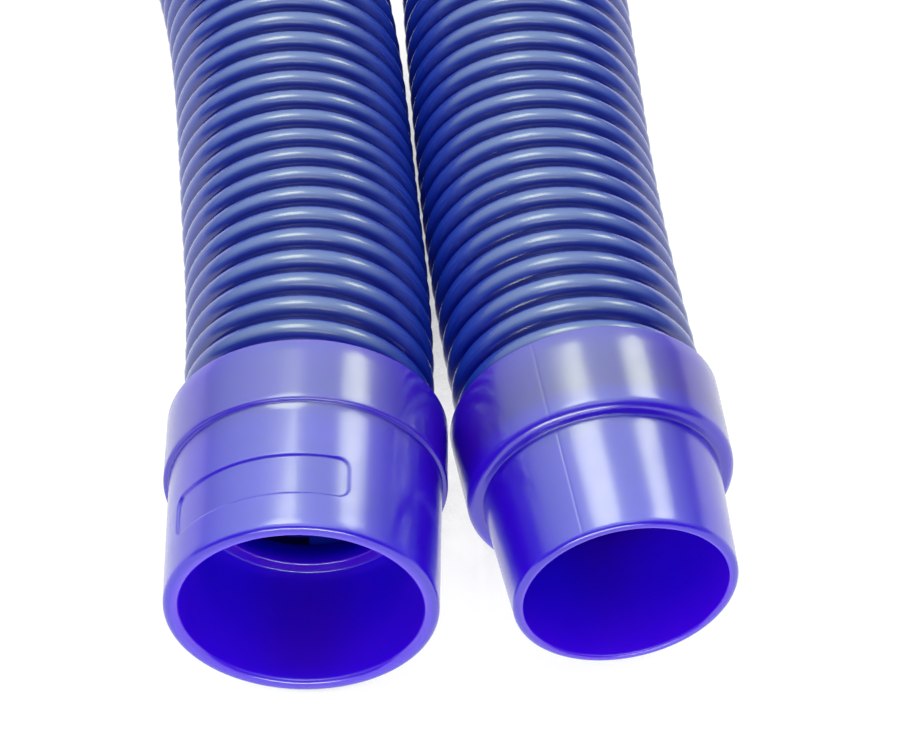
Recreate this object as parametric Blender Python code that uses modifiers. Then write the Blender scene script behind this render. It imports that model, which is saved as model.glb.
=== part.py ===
"""Vacuum hose section for a pool cleaner: a spiral-corrugated hose with a socket cuff on one end and a
spigot cuff on the other. The hose lies on a table, bent round in a loop, so that its two ends lie side by side.

Frame: metres, +Z up, the table is z = 0. The cuffs' mouths face -Y and the hose runs away from them along +Y.
The origin is on the table, at the middle of the box around the two cuffs.
"""

from math import cos, pi, radians, sin

import bpy
import numpy as np
from mathutils import Vector

# Hose
HOSE_R = 0.0237  # outside of the corrugation
ROUTE_STEP = 0.024  # spacing of the points along a tube
END_STEP = 0.001  # a short last step turns a tube's end face square to the route
GAP = 0.0003  # between touching pieces

# Both cuffs, along the cuff's axis from its mouth
CUFF_LENGTH = 0.0420
HOSE_SEAT = 0.0290  # how far in the hose's end face lies
THROAT_R = 0.0183
COLLAR_BORE_R = HOSE_R + 2 * GAP
RIM_ROUND = 0.0008  # rounding of a mouth's edge
BACK_CHAMFER = 0.0005
TURN_STEPS = 64

# Socket (female) cuff
SOCKET_RIM_R = 0.0248
SOCKET_MOUTH_R = 0.0219
SOCKET_STOP_R = 0.0209  # the socket narrows to this at its stop shoulder
SOCKET_DEPTH = 0.0245
SOCKET_STEP_R = 0.0252  # outside, just in front of the collar
SOCKET_COLLAR_R = 0.02625
SOCKET_COLLAR_START = 0.0281

# Spigot (male) cuff
SPIGOT_TIP_R = 0.0207
SPIGOT_BORE_R = 0.0188
SPIGOT_ROOT_R = 0.0222
SPIGOT_LENGTH = 0.0238
SPIGOT_COLLAR_FRONT_R = 0.02505
SPIGOT_COLLAR_BACK_R = 0.0256
SHOULDER_ROUND = 0.0018

# Where the mouths' centres lie, and how far each cuff's axis is turned to the left, going away from the mouth
FEMALE_MOUTH = Vector((-0.0266, -0.0250, SOCKET_COLLAR_R))
FEMALE_TURN = 0.0
MALE_MOUTH = Vector((0.0318, -0.0206, SPIGOT_COLLAR_BACK_R))
MALE_TURN = radians(9.0)

# The hose's route between the cuffs' back faces, on its centre line
ROUTE = [
    (-0.0267, 0.0330, 0.0261), (-0.0278, 0.0530, 0.0252), (-0.0298, 0.0749, 0.0241),
    (-0.0325, 0.1048, 0.0239), (-0.0393, 0.1462, 0.0239), (-0.0586, 0.1921, 0.0239),
    (-0.0898, 0.2309, 0.0239), (-0.1295, 0.2613, 0.0239), (-0.1693, 0.2915, 0.0239),
    (-0.2007, 0.3301, 0.0239), (-0.2203, 0.3760, 0.0239), (-0.2265, 0.4254, 0.0239),
    (-0.2188, 0.4747, 0.0239), (-0.1979, 0.5199, 0.0239), (-0.1653, 0.5576, 0.0239),
    (-0.1235, 0.5848, 0.0239), (-0.0759, 0.5995, 0.0239), (-0.0261, 0.6004, 0.0239),
    (0.0221, 0.5876, 0.0239), (0.0649, 0.5620, 0.0239), (0.0989, 0.5257, 0.0239),
    (0.1216, 0.4813, 0.0239), (0.1312, 0.4324, 0.0239), (0.1269, 0.3827, 0.0239),
    (0.1091, 0.3362, 0.0239), (0.0799, 0.2957, 0.0239), (0.0479, 0.2574, 0.0239),
    (0.0244, 0.2134, 0.0239), (0.0138, 0.1647, 0.0239), (0.0155, 0.1085, 0.0239),
    (0.0176, 0.0806, 0.0240), (0.0198, 0.0587, 0.0248), (0.0224, 0.0389, 0.0255),
]

# Stations on the route where the tube is divided, as lengths along it from the female end of the hose.
# Each half of the loop opens about its own bend.
FEMALE_BEND = (0.200, 0.600)
MALE_BEND = (0.900, 1.300)


def start_scene(names):
    """Clear the scene and return one new collection for each name."""
    for old in list(bpy.data.objects):
        bpy.data.objects.remove(old)
    made = []
    for name in names:
        collection = bpy.data.collections.new(name)
        bpy.context.scene.collection.children.link(collection)
        made.append(collection)
    return made


def material(name, color, roughness):
    made = bpy.data.materials.new(name)
    made.use_nodes = True
    shader = made.node_tree.nodes["Principled BSDF"]
    shader.inputs["Base Color"].default_value = (*color, 1.0)
    shader.inputs["Roughness"].default_value = roughness
    shader.inputs["Metallic"].default_value = 0.0
    return made


def axis_point(mouth, turn, depth):
    """The point on a cuff's axis that lies this deep behind its mouth."""
    return mouth + depth * Vector((-sin(turn), cos(turn), 0.0))


# ---------------------------------------------------------------- route

def smooth_curve(points, count=2000):
    """Points read closely along the natural cubic spline through these points, with their lengths along it."""
    points = np.array(points)
    knots = np.concatenate([[0.0], np.cumsum(np.linalg.norm(np.diff(points, axis=0), axis=1))])
    step = np.diff(knots)
    size = len(points)
    matrix = np.eye(size)
    slopes = np.diff(points, axis=0) / step[:, None]
    right = np.zeros_like(points)
    for i in range(1, size - 1):
        matrix[i, i - 1 : i + 2] = step[i - 1], 2 * (step[i - 1] + step[i]), step[i]
        right[i] = 6 * (slopes[i] - slopes[i - 1])
    bend = np.linalg.solve(matrix, right)
    at = np.linspace(0.0, knots[-1], count)
    i = np.clip(np.searchsorted(knots, at, side="right") - 1, 0, size - 2)
    h = step[i, None]
    a = (knots[i + 1] - at)[:, None]
    b = (at - knots[i])[:, None]
    line = (bend[i] * a**3 + bend[i + 1] * b**3) / (6 * h)
    line += (points[i] / h - bend[i] * h / 6) * a + (points[i + 1] / h - bend[i + 1] * h / 6) * b
    length = np.concatenate([[0.0], np.cumsum(np.linalg.norm(np.diff(line, axis=0), axis=1))])
    return line, length


def hose_route():
    """The whole centre line of the hose, from its end in the female cuff to its end in the male cuff."""
    female_end = [axis_point(FEMALE_MOUTH, FEMALE_TURN, depth) for depth in (HOSE_SEAT, CUFF_LENGTH)]
    male_end = [axis_point(MALE_MOUTH, MALE_TURN, depth) for depth in (CUFF_LENGTH, HOSE_SEAT)]
    return smooth_curve([tuple(p) for p in female_end] + ROUTE + [tuple(p) for p in male_end])


def route_point(route, station):
    line, length = route
    return Vector([float(np.interp(station, length, line[:, k])) for k in range(3)])


# ---------------------------------------------------------------- pieces

def round_corner(z, r, radius, start, end, steps=3):
    """Profile points on a rounding about the centre (z, r); angles in degrees, 0 outward, 90 to the mouth."""
    angles = [radians(start + (end - start) * i / steps) for i in range(steps + 1)]
    return [(z + radius * sin(angle), r + radius * cos(angle)) for angle in angles]


def turned(name, profile, mouth, turn, paint, collection):
    """A turned piece from its closed profile of (z, r) points. Its own +Z points out of the mouth, and the
    profile runs down the outer side first. Its axis is laid level, turned to the left by this angle."""
    mesh = bpy.data.meshes.new(name)
    rim = [(r, 0.0, z) for z, r in profile]
    edges = [(i, (i + 1) % len(rim)) for i in range(len(rim))]
    mesh.from_pydata(rim, edges, [])
    piece = bpy.data.objects.new(name, mesh)
    collection.objects.link(piece)
    screw = piece.modifiers.new("Turn", "SCREW")
    screw.axis = "Z"
    screw.steps = TURN_STEPS
    screw.render_steps = TURN_STEPS
    screw.use_merge_vertices = True
    screw.merge_threshold = 0.00001
    screw.use_smooth_shade = True
    piece.data.materials.append(paint)
    piece.location = mouth
    piece.rotation_euler = (pi / 2, 0.0, turn)
    return piece


def collar_profile(outer_r):
    """The back end that both cuffs share: a chamfered edge, the hose's socket and the seat of its end face."""
    return [
        (-CUFF_LENGTH + BACK_CHAMFER, outer_r),
        (-CUFF_LENGTH, outer_r - BACK_CHAMFER),
        (-CUFF_LENGTH, COLLAR_BORE_R),
        (-HOSE_SEAT, COLLAR_BORE_R),
        (-HOSE_SEAT, THROAT_R),
    ]


def female_cuff(paint, collection):
    collar_front = -SOCKET_COLLAR_START
    profile = [
        (0.0, SOCKET_MOUTH_R + RIM_ROUND / 2),
        *round_corner(-RIM_ROUND, SOCKET_RIM_R - RIM_ROUND, RIM_ROUND, 90, 0),
        (collar_front, SOCKET_STEP_R),
        *round_corner(collar_front - RIM_ROUND, SOCKET_COLLAR_R - RIM_ROUND, RIM_ROUND, 90, 0),
        *collar_profile(SOCKET_COLLAR_R),
        (-SOCKET_DEPTH, THROAT_R),
        (-SOCKET_DEPTH, SOCKET_STOP_R),
        (-RIM_ROUND, SOCKET_MOUTH_R),
    ]
    return turned("female_cuff", profile, FEMALE_MOUTH, FEMALE_TURN, paint, collection)


def male_cuff(paint, collection):
    shoulder = -SPIGOT_LENGTH - SHOULDER_ROUND
    profile = [
        (0.0, SPIGOT_BORE_R + RIM_ROUND / 2),
        *round_corner(-RIM_ROUND, SPIGOT_TIP_R - RIM_ROUND, RIM_ROUND, 90, 0),
        (-SPIGOT_LENGTH, SPIGOT_ROOT_R),
        *round_corner(shoulder, SPIGOT_COLLAR_FRONT_R - SHOULDER_ROUND, SHOULDER_ROUND, 90, 0, steps=4),
        *collar_profile(SPIGOT_COLLAR_BACK_R),
        (-RIM_ROUND, SPIGOT_BORE_R),
    ]
    return turned("male_cuff", profile, MALE_MOUTH, MALE_TURN, paint, collection)


def hose_tube(name, route, start, end, paint, collection):
    """A plain tube along the route between two stations, with a flat face square to the route at each end."""
    inner = np.arange(start + ROUTE_STEP, end - ROUTE_STEP / 2, ROUTE_STEP)
    stations = [start, start + END_STEP, *inner, end - END_STEP, end]
    data = bpy.data.curves.new(name, "CURVE")
    data.dimensions = "3D"
    data.twist_mode = "Z_UP"
    data.bevel_depth = HOSE_R
    data.bevel_resolution = 4
    data.use_fill_caps = True
    spline = data.splines.new("POLY")
    spline.points.add(len(stations) - 1)
    for point, station in zip(spline.points, stations):
        point.co = (*route_point(route, station), 1.0)
    piece = bpy.data.objects.new(name, data)
    collection.objects.link(piece)
    data.materials.append(paint)
    return piece


def pivot(name, place, collection, riders):
    """An empty on a joint's axis, with the pieces that turn about it as its children."""
    empty = bpy.data.objects.new(name, None)
    empty.empty_display_size = 0.03
    collection.objects.link(empty)
    empty.location = place
    for rider in riders:
        rider.parent = empty
        rider.location = rider.location - place


def build():
    parts, guides = start_scene(["pool_vacuum_hose", "guides"])
    cuff_blue = material("cuff_plastic", (0.075, 0.085, 0.62), 0.22)
    hose_blue = material("hose_plastic", (0.035, 0.085, 0.36), 0.42)

    route = hose_route()
    total = route[1][-1]
    half_gap = GAP / 2
    female = [
        female_cuff(cuff_blue, parts),
        hose_tube("hose_female_leg", route, GAP, FEMALE_BEND[0] - half_gap, hose_blue, parts),
    ]
    male = [
        male_cuff(cuff_blue, parts),
        hose_tube("hose_male_leg", route, MALE_BEND[1] + half_gap, total - GAP, hose_blue, parts),
    ]
    for name, (start, end) in {"hose_female_bend": FEMALE_BEND, "hose_male_bend": MALE_BEND}.items():
        hose_tube(name, route, start + half_gap, end - half_gap, hose_blue, parts)
    hose_tube("hose_loop", route, FEMALE_BEND[1] + half_gap, MALE_BEND[0] - half_gap, hose_blue, parts)

    for name, bend, riders in (("female_side", FEMALE_BEND, female), ("male_side", MALE_BEND, male)):
        pivot(name, route_point(route, sum(bend) / 2), guides, riders)


build()
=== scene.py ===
"""Finished look of the pool vacuum hose: a socket cuff and a spigot cuff on one spiral-corrugated hose,
which lies in a loop on a pale table. All sizes are in metres, in the CAD model's frame."""

from math import cos, pi, radians, sin

import bpy
import numpy as np
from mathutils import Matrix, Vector


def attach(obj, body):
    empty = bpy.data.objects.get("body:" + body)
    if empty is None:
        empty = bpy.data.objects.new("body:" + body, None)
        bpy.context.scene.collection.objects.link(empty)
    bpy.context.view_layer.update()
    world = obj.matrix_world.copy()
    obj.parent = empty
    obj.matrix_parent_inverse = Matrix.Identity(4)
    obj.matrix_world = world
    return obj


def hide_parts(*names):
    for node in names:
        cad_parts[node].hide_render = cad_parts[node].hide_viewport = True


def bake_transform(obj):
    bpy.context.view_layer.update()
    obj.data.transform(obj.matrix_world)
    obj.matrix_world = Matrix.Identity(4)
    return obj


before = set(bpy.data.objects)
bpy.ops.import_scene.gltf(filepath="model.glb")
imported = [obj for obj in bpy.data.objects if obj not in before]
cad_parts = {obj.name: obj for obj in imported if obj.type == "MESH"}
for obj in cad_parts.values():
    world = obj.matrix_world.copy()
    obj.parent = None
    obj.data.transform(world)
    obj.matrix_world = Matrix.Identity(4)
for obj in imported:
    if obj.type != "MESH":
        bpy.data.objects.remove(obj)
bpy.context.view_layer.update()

# Camera and light
TARGET = Vector((0.0, 0.055, 0.0))
CAMERA_ELEVATION = radians(49.55)
CAMERA_DISTANCE = 0.6541
LENS = 130.3
TABLE_SIZE = 20.0
CONTACT_SHADE = 0.020  # how near the table must be to a piece to be shaded by it
LIGHT_COLOR = (0.94, 1.0, 0.62)
TENT_COLOR = (0.80, 1.0, 0.55, 1.0)
TENT_TOP = (-0.15, 0.33, 0.93)  # the way to the tent's brightest part
TENT_RADIANCE = (0.35, 2.8)
SOFTBOXES = [  # name, azimuth, elevation, distance, size, radiance
    ("overhead", -28.0, 62.0, 1.2, (0.47, 0.42), 6.0),
    ("strip", 39.0, 37.0, 1.2, (0.30, 0.34), 6.2),
    ("front", 180.0, 72.0, 1.3, (0.90, 0.30), 2.2),
    ("mouths", 180.0, 12.0, 1.2, (0.90, 0.30), 11.0),
]

# Linear colours, each as a darker and a lighter shade
CUFF_OUTSIDE = ((0.024, 0.0002, 0.60), (0.030, 0.0004, 0.66))
# The bore's shades are a painted glow: the same plastic painted brighter for the light that comes through the
# wall
CUFF_BORE_PAINTED_GLOW = ((0.060, 0.0002, 0.93), (0.070, 0.0004, 0.97))
HOSE_RIB = ((0.006, 0.022, 0.42), (0.009, 0.033, 0.50))
# The groove shades are painted shade: the rib's plastic darkened where the grooves lie in shade
HOSE_GROOVE_PAINTED_SHADE = ((0.001, 0.001, 0.28), (0.001, 0.003, 0.32))

# Hose
HOSE_R = 0.0237  # outside, on the ribs
HOSE_BORE_R = 0.0184
RIB_PITCH = 0.00564
RIB_SHARE = 0.95  # of the pitch; the rest is groove
GROOVE_DEPTH = 0.0027
RIB_FLATNESS = (2.3, 0.55)  # the powers in the outline of a rib; 2 and 0.5 make it half an ellipse
BORE_WAVE = 0.0005
SPIRAL_HAND = -1  # left-handed
SPIRAL_START = 0.35  # of a pitch
HOSE_SEGMENTS = 56
BORE_SEGMENTS = 36
RIB_STEPS = 8
GROOVE_STEPS = 2
BORE_STEPS = 2

# Cuffs, along their axis from the mouth; the sizes are those of the CAD model
CUFF_LENGTH = 0.0420
HOSE_SEAT = 0.0290
THROAT_R = 0.0183
COLLAR_BORE_R = 0.0243
SOCKET_RIM_R = 0.0248
SOCKET_MOUTH_R = 0.0219
SOCKET_STOP_R = 0.0209
SOCKET_DEPTH = 0.0245
SOCKET_STEP_R = 0.0252
SOCKET_COLLAR_R = 0.02625
SOCKET_COLLAR_START = 0.0281
SPIGOT_TIP_R = 0.0207
SPIGOT_BORE_R = 0.0188
SPIGOT_ROOT_R = 0.0222
SPIGOT_LENGTH = 0.0238
SPIGOT_COLLAR_FRONT_R = 0.02505
SPIGOT_COLLAR_BACK_R = 0.0256
SHOULDER_ROUND = 0.0018
RIM_ROUND = 0.0011
EDGE_ROUND = 0.0003

# The plain recessed panel on the socket cuff: along the cuff, and round it from the top, to the right
PANEL_NEAR = 0.0078
PANEL_FAR = 0.0162
PANEL_LEFT = radians(-62.5)
PANEL_RIGHT = radians(21.0)
PANEL_CORNER = 0.0021
PANEL_DEPTH = 0.00042
PANEL_EDGE = 0.00055

# The mould's parting line on the spigot cuff, round it from the top
PARTING_ANGLE = radians(-24.5)
PARTING_WIDTH = 0.00022
PARTING_DEPTH = 0.00004

FEMALE_MOUTH = Vector((-0.0266, -0.0250, SOCKET_COLLAR_R))
FEMALE_TURN = 0.0
MALE_MOUTH = Vector((0.0318, -0.0206, SPIGOT_COLLAR_BACK_R))
MALE_TURN = radians(9.0)

# The hose's route between the cuffs' back faces, as in the CAD model
ROUTE = [
    (-0.0267, 0.0330, 0.0261), (-0.0278, 0.0530, 0.0252), (-0.0298, 0.0749, 0.0241),
    (-0.0325, 0.1048, 0.0239), (-0.0393, 0.1462, 0.0239), (-0.0586, 0.1921, 0.0239),
    (-0.0898, 0.2309, 0.0239), (-0.1295, 0.2613, 0.0239), (-0.1693, 0.2915, 0.0239),
    (-0.2007, 0.3301, 0.0239), (-0.2203, 0.3760, 0.0239), (-0.2265, 0.4254, 0.0239),
    (-0.2188, 0.4747, 0.0239), (-0.1979, 0.5199, 0.0239), (-0.1653, 0.5576, 0.0239),
    (-0.1235, 0.5848, 0.0239), (-0.0759, 0.5995, 0.0239), (-0.0261, 0.6004, 0.0239),
    (0.0221, 0.5876, 0.0239), (0.0649, 0.5620, 0.0239), (0.0989, 0.5257, 0.0239),
    (0.1216, 0.4813, 0.0239), (0.1312, 0.4324, 0.0239), (0.1269, 0.3827, 0.0239),
    (0.1091, 0.3362, 0.0239), (0.0799, 0.2957, 0.0239), (0.0479, 0.2574, 0.0239),
    (0.0244, 0.2134, 0.0239), (0.0138, 0.1647, 0.0239), (0.0155, 0.1085, 0.0239),
    (0.0176, 0.0806, 0.0240), (0.0198, 0.0587, 0.0248), (0.0224, 0.0389, 0.0255),
]
FEMALE_BEND = (0.200, 0.600)  # two lengths along the route for each half of the hose
MALE_BEND = (0.900, 1.300)


# ---------------------------------------------------------------- camera, table and lights

def add_camera():
    data = bpy.data.cameras.new("camera")
    data.sensor_width = 36.0
    data.lens = LENS
    data.clip_start = 0.01
    data.clip_end = 20.0
    camera = bpy.data.objects.new("camera", data)
    bpy.context.scene.collection.objects.link(camera)
    back = Vector((0.0, -cos(CAMERA_ELEVATION), sin(CAMERA_ELEVATION)))
    camera.location = TARGET + CAMERA_DISTANCE * back
    camera.rotation_euler = back.to_track_quat("Z", "Y").to_euler()
    bpy.context.scene.camera = camera


def add_softbox(name, azimuth, elevation, distance, size, radiance):
    """A rectangular light that faces the cuffs. Azimuth is in degrees to the right of +Y, elevation above
    the table; radiance is how bright its face is, where 1 is a white surface in full light."""
    data = bpy.data.lights.new(name, "AREA")
    data.shape = "RECTANGLE"
    data.size, data.size_y = size
    data.energy = radiance * pi * size[0] * size[1]
    data.color = LIGHT_COLOR
    light = bpy.data.objects.new(name, data)
    bpy.context.scene.collection.objects.link(light)
    azimuth, elevation = radians(azimuth), radians(elevation)
    away = Vector((sin(azimuth) * cos(elevation), cos(azimuth) * cos(elevation), sin(elevation)))
    light.location = Vector((0.0, 0.0, 0.03)) + distance * away
    light.rotation_euler = away.to_track_quat("Z", "Y").to_euler()


def add_world():
    """A pale tent, brightest overhead and a little behind the hose, with its dark opening in front."""
    world = bpy.data.worlds.new("studio")
    world.use_nodes = True
    tree = world.node_tree
    background = tree.nodes["Background"]
    background.inputs["Color"].default_value = TENT_COLOR
    direction = tree.nodes.new("ShaderNodeTexCoord").outputs["Generated"]
    parts = []
    for toward, source, result in (
        (TENT_TOP, (0.2, 1.0), TENT_RADIANCE),
        ((0.0, 1.0, 0.0), (-0.5, 0.1), (0.2, 1.0)),
    ):
        share = tree.nodes.new("ShaderNodeVectorMath")
        share.operation = "DOT_PRODUCT"
        share.inputs[1].default_value = toward
        tree.links.new(direction, share.inputs[0])
        parts.append(add_range(tree, share.outputs["Value"], *result, source=source))
    product = tree.nodes.new("ShaderNodeMath")
    product.operation = "MULTIPLY"
    tree.links.new(parts[0], product.inputs[0])
    tree.links.new(parts[1], product.inputs[1])
    tree.links.new(product.outputs["Value"], background.inputs["Strength"])
    bpy.context.scene.world = world


def add_table():
    """A table that glows white, with a painted contact shadow where a piece all but covers it."""
    mesh = bpy.data.meshes.new("table")
    half = TABLE_SIZE / 2
    corners = [(-half, -half, 0.0), (half, -half, 0.0), (half, half, 0.0), (-half, half, 0.0)]
    mesh.from_pydata(corners, [], [(0, 1, 2, 3)])
    table = bpy.data.objects.new("table", mesh)
    bpy.context.scene.collection.objects.link(table)
    white, shader = new_material("white_table")
    shader.inputs["Base Color"].default_value = (0.12, 0.12, 0.12, 1.0)
    shader.inputs["Roughness"].default_value = 0.9
    shader.inputs["Specular IOR Level"].default_value = 0.1
    shader.inputs["Emission Color"].default_value = (1.0, 1.0, 1.0, 1.0)
    tree = white.node_tree
    # The glow fades where a piece shuts out the open sky: a painted contact shadow
    open_sky = tree.nodes.new("ShaderNodeAmbientOcclusion")
    open_sky.inputs["Distance"].default_value = CONTACT_SHADE
    glow = add_range(tree, open_sky.outputs["AO"], 0.05, 0.95, source=(0.10, 0.30))
    tree.links.new(glow, shader.inputs["Emission Strength"])
    mesh.materials.append(white)


# ---------------------------------------------------------------- materials

def new_material(name):
    made = bpy.data.materials.new(name)
    made.use_nodes = True
    return made, made.node_tree.nodes["Principled BSDF"]


def add_noise(tree, scale, detail, vector=None):
    noise = tree.nodes.new("ShaderNodeTexNoise")
    noise.inputs["Scale"].default_value = scale
    noise.inputs["Detail"].default_value = detail
    if vector is not None:
        tree.links.new(vector, noise.inputs["Vector"])
    return noise.outputs["Fac"]


def add_ramp(tree, value, limits, shades):
    """Two shades: the first up to the value's lower limit, the second from its upper one, blended between."""
    ramp = tree.nodes.new("ShaderNodeValToRGB")
    tree.links.new(value, ramp.inputs["Fac"])
    for element, position, color in zip(ramp.color_ramp.elements, limits, shades):
        element.position = position
        element.color = (*color, 1.0)
    return ramp.outputs["Color"]


def add_range(tree, value, low, high, source=(0.3, 0.7)):
    """The value spread from low to high. The source's limits are by default those of most noise."""
    spread = tree.nodes.new("ShaderNodeMapRange")
    spread.inputs["From Min"].default_value = source[0]
    spread.inputs["From Max"].default_value = source[1]
    spread.inputs["To Min"].default_value = low
    spread.inputs["To Max"].default_value = high
    tree.links.new(value, spread.inputs["Value"])
    return spread.outputs["Result"]


def add_attribute(tree, name):
    attribute = tree.nodes.new("ShaderNodeAttribute")
    attribute.attribute_name = name
    return attribute.outputs["Fac"]


def add_mix(tree, factor, first, second, socket):
    """The first colour where the factor is 0 and the second where it is 1, sent to the socket."""
    mix = tree.nodes.new("ShaderNodeMix")
    mix.data_type = "RGBA"
    tree.links.new(factor, mix.inputs["Factor"])
    tree.links.new(first, mix.inputs["A"])
    tree.links.new(second, mix.inputs["B"])
    tree.links.new(mix.outputs["Result"], socket)


def add_bump(tree, height, distance, strength, normal=None):
    bump = tree.nodes.new("ShaderNodeBump")
    bump.inputs["Distance"].default_value = distance
    bump.inputs["Strength"].default_value = strength
    tree.links.new(height, bump.inputs["Height"])
    if normal is not None:
        tree.links.new(normal, bump.inputs["Normal"])
    return bump.outputs["Normal"]


def cuff_plastic():
    """Glossy ultramarine moulded plastic: faint swirls of colour, soft flow ripples and fine dust nicks.
    The bore is painted brighter: a painted glow for the light that comes through the wall."""
    made, shader = new_material("cuff_gloss_plastic")
    tree = made.node_tree
    place = tree.nodes.new("ShaderNodeTexCoord").outputs["Object"]
    swirl = add_noise(tree, 90.0, 3.0, place)
    outside = add_ramp(tree, swirl, (0.35, 0.65), CUFF_OUTSIDE)
    bore_glow = add_ramp(tree, swirl, (0.35, 0.65), CUFF_BORE_PAINTED_GLOW)
    # The bore takes the brighter shades, a painted glow
    add_mix(tree, add_attribute(tree, "inside"), outside, bore_glow, shader.inputs["Base Color"])
    haze = add_noise(tree, 260.0, 4.0, place)
    tree.links.new(add_range(tree, haze, 0.20, 0.27), shader.inputs["Roughness"])
    ripple = add_bump(tree, add_noise(tree, 160.0, 2.0, place), 0.0004, 0.12)
    grain = add_bump(tree, add_noise(tree, 5200.0, 2.0, place), 0.00003, 0.25, ripple)
    tree.links.new(grain, shader.inputs["Normal"])
    shader.inputs["IOR"].default_value = 1.5
    shader.inputs["Specular IOR Level"].default_value = 0.9
    shader.inputs["Coat Weight"].default_value = 0.4
    shader.inputs["Coat Roughness"].default_value = 0.12
    shader.inputs["Subsurface Weight"].default_value = 0.8
    shader.inputs["Subsurface Radius"].default_value = (0.5, 0.1, 1.0)
    shader.inputs["Subsurface Scale"].default_value = 0.011
    return made


def hose_plastic():
    """Satin blue hose wall, with drawn lines along the ribs and painted shade that darkens the grooves
    between them.
    """
    made, shader = new_material("hose_satin_plastic")
    tree = made.node_tree
    depth = add_attribute(tree, "groove")
    stretched = tree.nodes.new("ShaderNodeMapping")
    stretched.inputs["Scale"].default_value = (60.0, 2600.0, 1.0)
    tree.links.new(tree.nodes.new("ShaderNodeTexCoord").outputs["UV"], stretched.inputs["Vector"])
    lines = add_noise(tree, 1.0, 3.0, stretched.outputs["Vector"])
    rib = add_ramp(tree, lines, (0.3, 0.7), HOSE_RIB)
    groove = add_ramp(tree, lines, (0.3, 0.7), HOSE_GROOVE_PAINTED_SHADE)
    # Darker towards the bottom of each groove: painted shade
    sunk = add_range(tree, depth, 0.0, 1.0, source=(0.03, 0.6))
    add_mix(tree, sunk, rib, groove, shader.inputs["Base Color"])
    tree.links.new(add_range(tree, lines, 0.20, 0.27), shader.inputs["Roughness"])
    tree.links.new(add_bump(tree, lines, 0.00008, 0.25), shader.inputs["Normal"])
    shader.inputs["IOR"].default_value = 1.5
    shader.inputs["Specular IOR Level"].default_value = 1.0
    shader.inputs["Coat Weight"].default_value = 0.3
    shader.inputs["Coat Roughness"].default_value = 0.2
    return made


# ---------------------------------------------------------------- meshes

def grid_mesh(name, points, paint):
    """A mesh from a grid of points, an array of rows by columns by 3, which closes on itself both ways."""
    rows, columns = points.shape[:2]
    index = np.arange(rows * columns).reshape(rows, columns)
    after = np.roll(index, -1, axis=0)
    faces = np.stack([index, np.roll(index, -1, axis=1), np.roll(after, -1, axis=1), after], axis=-1)
    mesh = bpy.data.meshes.new(name)
    mesh.from_pydata(points.reshape(-1, 3).tolist(), [], faces.reshape(-1, 4).tolist())
    mesh.materials.append(paint)
    mesh.polygons.foreach_set("use_smooth", [True] * len(mesh.polygons))
    made = bpy.data.objects.new(name, mesh)
    bpy.context.scene.collection.objects.link(made)
    return made


def store(mesh, name, values):
    """Keeps one value for each vertex, for the mesh's paint."""
    attribute = mesh.attributes.new(name, "FLOAT", "POINT")
    attribute.data.foreach_set("value", np.array(values, dtype=np.float32))


def frame_axes(turn):
    """A cuff's own axes: away from the mouth, to the right, and up."""
    return np.array([(-sin(turn), cos(turn), 0.0), (cos(turn), sin(turn), 0.0), (0.0, 0.0, 1.0)])


def turned_cuff(name, profile, angles, relief, mouth, turn, paint):
    """A cuff turned from its closed profile of (depth, radius) points, which runs from the mouth back along
    the outside and returns through the bore. relief(depth, angle) is added to the radius of the outside."""
    depth = np.array([z for z, _ in profile])[:, None]
    radius = np.array([r for _, r in profile])[:, None]
    outside = np.arange(len(profile))[:, None] <= int(np.argmax(depth[:, 0]))
    radius = radius + np.where(outside, relief(depth, angles[None, :]), 0.0)
    away, right, up = frame_axes(turn)
    points = (
        np.array(mouth)
        + depth[..., None] * away
        + (radius * np.sin(angles))[..., None] * right
        + (radius * np.cos(angles))[..., None] * up
    )
    made = grid_mesh(name, points, paint)
    # Marks the bore, which the paint makes brighter as a painted glow
    store(made.data, "inside", np.broadcast_to(~outside, points.shape[:2]).ravel())
    return made


def arc(depth, radius, size, start, end, steps=5):
    """Profile points on a rounding about (depth, radius). Angles are in degrees: 0 is outward, 90 is to the
    mouth, 180 is to the axis and -90 is away from the mouth."""
    turns = [radians(start + (end - start) * i / steps) for i in range(steps + 1)]
    return [(depth - size * sin(turn), radius + size * cos(turn)) for turn in turns]


def run(start, end, count):
    """Evenly spaced profile points from start up to, but not including, end."""
    return [tuple(np.add(start, np.multiply(np.subtract(end, start), i / count))) for i in range(count)]


def collar_end(outer_r):
    """The profile from the collar's back edge to the throat, round the hose's socket."""
    return [
        *arc(CUFF_LENGTH - EDGE_ROUND, outer_r - EDGE_ROUND, EDGE_ROUND, 0, -90, 3),
        (CUFF_LENGTH, COLLAR_BORE_R),
        (HOSE_SEAT, COLLAR_BORE_R),
        (HOSE_SEAT, THROAT_R),
    ]


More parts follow.
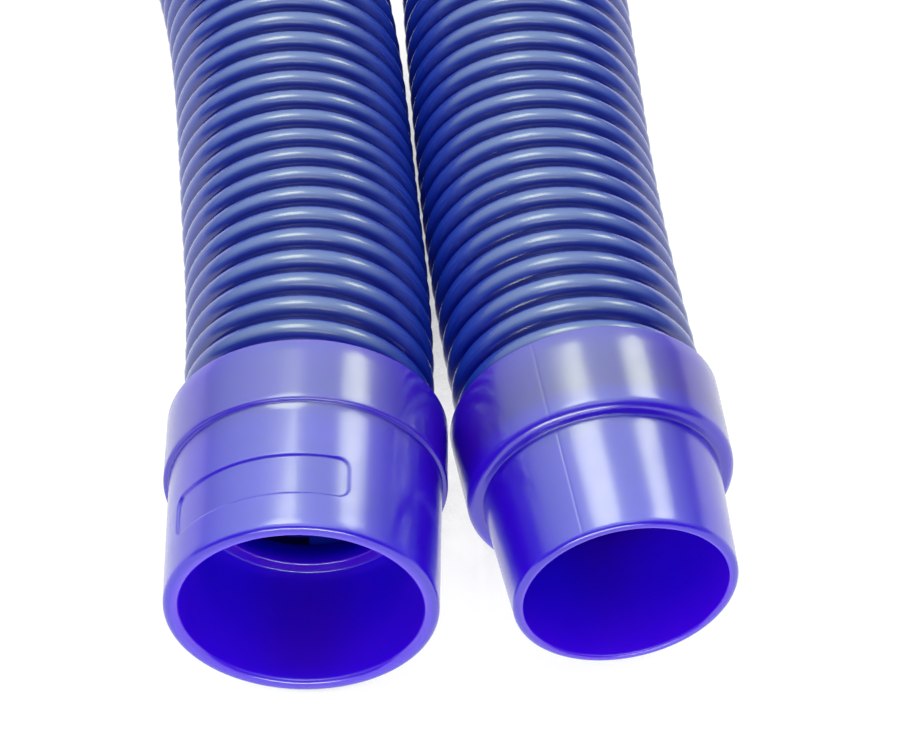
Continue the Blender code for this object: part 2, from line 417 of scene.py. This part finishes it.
def female_profile():
    step_front = SOCKET_COLLAR_START
    stop = SOCKET_DEPTH
    return [
        *arc(RIM_ROUND, SOCKET_RIM_R - RIM_ROUND, RIM_ROUND, 90, 0),
        *run((0.0025, 0.0248), (PANEL_NEAR - 0.0012, 0.0249), 3),
        *run((PANEL_NEAR - 0.0012, 0.0249), (PANEL_FAR + 0.0012, 0.02505), 76),
        *run((PANEL_FAR + 0.0012, 0.02505), (step_front - EDGE_ROUND, SOCKET_STEP_R), 6),
        *arc(step_front - EDGE_ROUND, SOCKET_STEP_R + EDGE_ROUND, EDGE_ROUND, 180, 270, 3),
        *arc(step_front + 0.0005, SOCKET_COLLAR_R - 0.0005, 0.0005, 90, 0),
        *run((step_front + 0.0015, SOCKET_COLLAR_R), (CUFF_LENGTH - 0.001, SOCKET_COLLAR_R), 6),
        *collar_end(SOCKET_COLLAR_R),
        *arc(stop + EDGE_ROUND, THROAT_R + EDGE_ROUND, EDGE_ROUND, 180, 90, 4),
        *arc(stop - EDGE_ROUND, SOCKET_STOP_R - EDGE_ROUND, EDGE_ROUND, -90, 0, 4),
        *run((stop - 0.002, SOCKET_STOP_R), (0.003, 0.0218), 6),
        (0.0022, SOCKET_MOUTH_R),
        *arc(0.0011, SOCKET_MOUTH_R + 0.0011, 0.0011, 180, 90),
    ]


def male_profile():
    shoulder = SPIGOT_LENGTH + SHOULDER_ROUND
    return [
        *arc(RIM_ROUND, SPIGOT_TIP_R - RIM_ROUND, RIM_ROUND, 90, 0),
        *run((0.0015, SPIGOT_TIP_R), (SPIGOT_LENGTH - EDGE_ROUND, SPIGOT_ROOT_R), 12),
        *arc(SPIGOT_LENGTH - EDGE_ROUND, SPIGOT_ROOT_R + EDGE_ROUND, EDGE_ROUND, 180, 270, 4),
        *arc(shoulder, SPIGOT_COLLAR_FRONT_R - SHOULDER_ROUND, SHOULDER_ROUND, 90, 0, 8),
        *run((shoulder + 0.001, 0.02507), (CUFF_LENGTH - 0.001, SPIGOT_COLLAR_BACK_R), 6),
        *collar_end(SPIGOT_COLLAR_BACK_R),
        *run((HOSE_SEAT - 0.001, THROAT_R), (0.002, SPIGOT_BORE_R), 6),
        *arc(0.0006, SPIGOT_BORE_R + 0.0006, 0.0006, 180, 90),
    ]


def panel_relief(depth, angle):
    """How far the recessed panel sets the surface back: nothing outside it, its full depth inside."""
    across = angle * SOCKET_STEP_R
    middle = (PANEL_LEFT + PANEL_RIGHT) / 2 * SOCKET_STEP_R
    half_width = (PANEL_RIGHT - PANEL_LEFT) / 2 * SOCKET_STEP_R
    half_length = (PANEL_FAR - PANEL_NEAR) / 2
    out_x = np.abs(across - middle) - (half_width - PANEL_CORNER)
    out_y = np.abs(depth - (PANEL_NEAR + PANEL_FAR) / 2) - (half_length - PANEL_CORNER)
    beyond = np.hypot(np.maximum(out_x, 0), np.maximum(out_y, 0))
    edge = beyond + np.minimum(np.maximum(out_x, out_y), 0) - PANEL_CORNER
    share = np.clip(0.5 - edge / PANEL_EDGE, 0.0, 1.0)
    return -PANEL_DEPTH * share * share * (3 - 2 * share)


def parting_relief(depth, angle):
    """A fine line pressed in by the mould's joint, on both sides of the cuff."""
    line = np.abs(np.sin(angle - PARTING_ANGLE)) * SPIGOT_TIP_R / PARTING_WIDTH
    return -PARTING_DEPTH * np.exp(-line * line) + 0.0 * depth


def uneven_angles(base, dense):
    """Angles round a full turn: base even ones, with extra ones between each pair of dense limits."""
    angles = set(np.round(np.linspace(-pi, pi, base, endpoint=False), 6))
    for low, high, count in dense:
        angles = {a for a in angles if not low < a < high}
        angles |= set(np.round(np.linspace(low, high, count), 6))
    return np.array(sorted(angles))


def female_cuff(paint):
    panel = (PANEL_LEFT - 0.06, PANEL_RIGHT + 0.06, 260)
    angles = uneven_angles(128, [panel])
    return turned_cuff(
        "socket_cuff_shell", female_profile(), angles, panel_relief, FEMALE_MOUTH, FEMALE_TURN, paint
    )


def male_cuff(paint):
    width = 4 * PARTING_WIDTH / SPIGOT_TIP_R
    lines = [(middle - width, middle + width, 17) for middle in (PARTING_ANGLE, PARTING_ANGLE + pi)]
    angles = uneven_angles(144, lines)
    return turned_cuff(
        "spigot_cuff_shell", male_profile(), angles, parting_relief, MALE_MOUTH, MALE_TURN, paint
    )


# ---------------------------------------------------------------- hose

def axis_point(mouth, turn, depth):
    return mouth + depth * Vector((-sin(turn), cos(turn), 0.0))


def smooth_curve(points, count=6000):
    """Close points along the natural cubic spline through these points, with their lengths along it."""
    points = np.array(points)
    knots = np.concatenate([[0.0], np.cumsum(np.linalg.norm(np.diff(points, axis=0), axis=1))])
    step = np.diff(knots)
    size = len(points)
    matrix = np.eye(size)
    slopes = np.diff(points, axis=0) / step[:, None]
    right = np.zeros_like(points)
    for i in range(1, size - 1):
        matrix[i, i - 1 : i + 2] = step[i - 1], 2 * (step[i - 1] + step[i]), step[i]
        right[i] = 6 * (slopes[i] - slopes[i - 1])
    bend = np.linalg.solve(matrix, right)
    at = np.linspace(0.0, knots[-1], count)
    i = np.clip(np.searchsorted(knots, at, side="right") - 1, 0, size - 2)
    h = step[i, None]
    a = (knots[i + 1] - at)[:, None]
    b = (at - knots[i])[:, None]
    line = (bend[i] * a**3 + bend[i + 1] * b**3) / (6 * h)
    line += (points[i] / h - bend[i] * h / 6) * a + (points[i + 1] / h - bend[i + 1] * h / 6) * b
    length = np.concatenate([[0.0], np.cumsum(np.linalg.norm(np.diff(line, axis=0), axis=1))])
    return line, length


def hose_route():
    female_end = [axis_point(FEMALE_MOUTH, FEMALE_TURN, depth) for depth in (HOSE_SEAT, CUFF_LENGTH)]
    male_end = [axis_point(MALE_MOUTH, MALE_TURN, depth) for depth in (CUFF_LENGTH, HOSE_SEAT)]
    return smooth_curve([tuple(p) for p in female_end] + ROUTE + [tuple(p) for p in male_end])


def route_points(route, stations):
    line, length = route
    return np.stack([np.interp(stations, length, line[:, k]) for k in range(3)], axis=-1)


def tube_points(route, stations, radii, angles):
    """Points at these distances along the route and round it. The angle is from straight up, clockwise when
    looking along the route."""
    ahead = route_points(route, stations + 0.0005) - route_points(route, stations - 0.0005)
    ahead /= np.linalg.norm(ahead, axis=-1, keepdims=True)
    side = np.cross(ahead, (0.0, 0.0, 1.0))
    side /= np.linalg.norm(side, axis=-1, keepdims=True)
    above = np.cross(side, ahead)
    middle = route_points(route, stations)
    outward = np.sin(angles)[..., None] * side + np.cos(angles)[..., None] * above
    return middle + radii[..., None] * outward


def rib_profile():
    """One pitch of the corrugation, as points of (share of the pitch, share of the groove's depth)."""
    inner, outer = RIB_FLATNESS
    rounding = [-cos(pi * i / RIB_STEPS) for i in range(RIB_STEPS)]
    rib = [((1 + x) / 2 * RIB_SHARE, 1 - (1 - abs(x) ** inner) ** outer) for x in rounding]
    groove = [(RIB_SHARE + (1 - RIB_SHARE) * i / GROOVE_STEPS, 1.0) for i in range(GROOVE_STEPS)]
    return rib + groove


def spiral_wall(route, first_turn, turns, profile, segments, radius, depth, flip):
    """A stretch of corrugated wall as a grid whose rows follow the spiral, one for each point of the
    profile, turn after turn. The last column of a row is the first column of the row one turn on. Returns
    its points, how deep each is below the ribs, its faces, and where each face corner is along the spiral
    and across it."""
    share = np.array([p for p, _ in profile] + [1.0])
    sunk = np.array([d for _, d in profile])
    steps = len(profile)
    row = np.arange(turns * steps + 1)
    turn = first_turn + row // steps + share[row % steps]
    low = sunk[row % steps]
    around = np.arange(segments + 1) / segments
    stations = (turn[:, None] + around[None, :] + SPIRAL_START - 1) * RIB_PITCH
    stations = np.clip(stations, 0.0, route[1][-1])
    angles = np.broadcast_to(pi + SPIRAL_HAND * 2 * pi * around, stations.shape)
    radii = np.broadcast_to((radius - depth * low)[:, None], stations.shape)
    points = tube_points(route, stations, radii, angles)

    index = np.arange(stations.size).reshape(stations.shape)
    index[:-steps, -1] = index[steps:, 0]
    faces = np.stack([index[:-1, :-1], index[:-1, 1:], index[1:, 1:], index[1:, :-1]], axis=-1)
    at = row[:-1]
    along = (first_turn + at // steps)[:, None] + around[None, :]
    start, end = share[at % steps], share[at % steps + 1]
    corners = np.empty((*faces.shape, 2))
    corners[..., (0, 3), 0] = along[:, :-1, None]
    corners[..., (1, 2), 0] = along[:, 1:, None]
    corners[..., (0, 1), 1] = start[:, None, None]
    corners[..., (2, 3), 1] = end[:, None, None]
    corners *= (2 * pi * radius, RIB_PITCH)

    faces, corners = faces.reshape(-1, 4), corners.reshape(-1, 4, 2)
    flat = stations.reshape(-1)[faces]
    real = np.ptp(flat, axis=1) > 1e-7
    faces, corners = faces[real], corners[real]
    if flip:
        faces, corners = faces[:, ::-1], corners[:, ::-1]
    return points.reshape(-1, 3), np.broadcast_to(low[:, None], stations.shape).ravel(), faces, corners


def hose_piece(name, route, first_turn, turns, paint):
    bore_profile = [(i / BORE_STEPS, i / BORE_STEPS) for i in range(BORE_STEPS)]
    outer = spiral_wall(
        route, first_turn, turns, rib_profile(), HOSE_SEGMENTS, HOSE_R, GROOVE_DEPTH, SPIRAL_HAND < 0
    )
    inner = spiral_wall(
        route, first_turn, turns, bore_profile, BORE_SEGMENTS, HOSE_BORE_R, -BORE_WAVE, SPIRAL_HAND > 0
    )
    vertices = np.concatenate([outer[0], inner[0]])
    groove = np.concatenate([outer[1], np.zeros_like(inner[1])])
    faces = np.concatenate([outer[2], inner[2] + len(outer[0])])
    corners = np.concatenate([outer[3], inner[3]])
    used, faces = np.unique(faces, return_inverse=True)

    mesh = bpy.data.meshes.new(name)
    mesh.from_pydata(vertices[used].tolist(), [], faces.reshape(-1, 4).tolist())
    mesh.materials.append(paint)
    mesh.polygons.foreach_set("use_smooth", [True] * len(mesh.polygons))
    store(mesh, "groove", groove[used])
    mesh.uv_layers.new(name="along_spiral").data.foreach_set("uv", corners.astype(np.float32).ravel())
    made = bpy.data.objects.new(name, mesh)
    bpy.context.scene.collection.objects.link(made)
    return made


def add_hose():
    route = hose_route()
    total = route[1][-1]
    turns = int(total / RIB_PITCH) + 2
    half = turns // 2
    middle = (half + SPIRAL_START - 0.5) * RIB_PITCH
    paint = hose_plastic()

    spans = [
        ("hose_socket_half", 0, half, 0.0, middle, "female_end", FEMALE_BEND,
         ("hose_female_leg", "hose_female_bend", "hose_loop")),
        ("hose_spigot_half", half, turns - half, total, middle, "male_end", MALE_BEND[::-1],
         ("hose_male_leg", "hose_male_bend")),
    ]
    for name, first, count, start, end, body, bend, nodes in spans:
        piece = hose_piece(name, route, first, count, paint)
        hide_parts(*nodes)
        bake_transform(piece)


# ---------------------------------------------------------------- scene

def add_cuffs():
    paint = cuff_plastic()
    for cuff, node, body in (
        (female_cuff(paint), "female_cuff", "female_end"),
        (male_cuff(paint), "male_cuff", "male_end"),
    ):
        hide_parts(node)
        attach(cuff, body)


def build():
    add_camera()
    add_hose()
    add_cuffs()
    add_table()
    add_world()
    for softbox in SOFTBOXES:
        add_softbox(*softbox)
    bpy.context.scene.view_settings.view_transform = "Standard"


build()
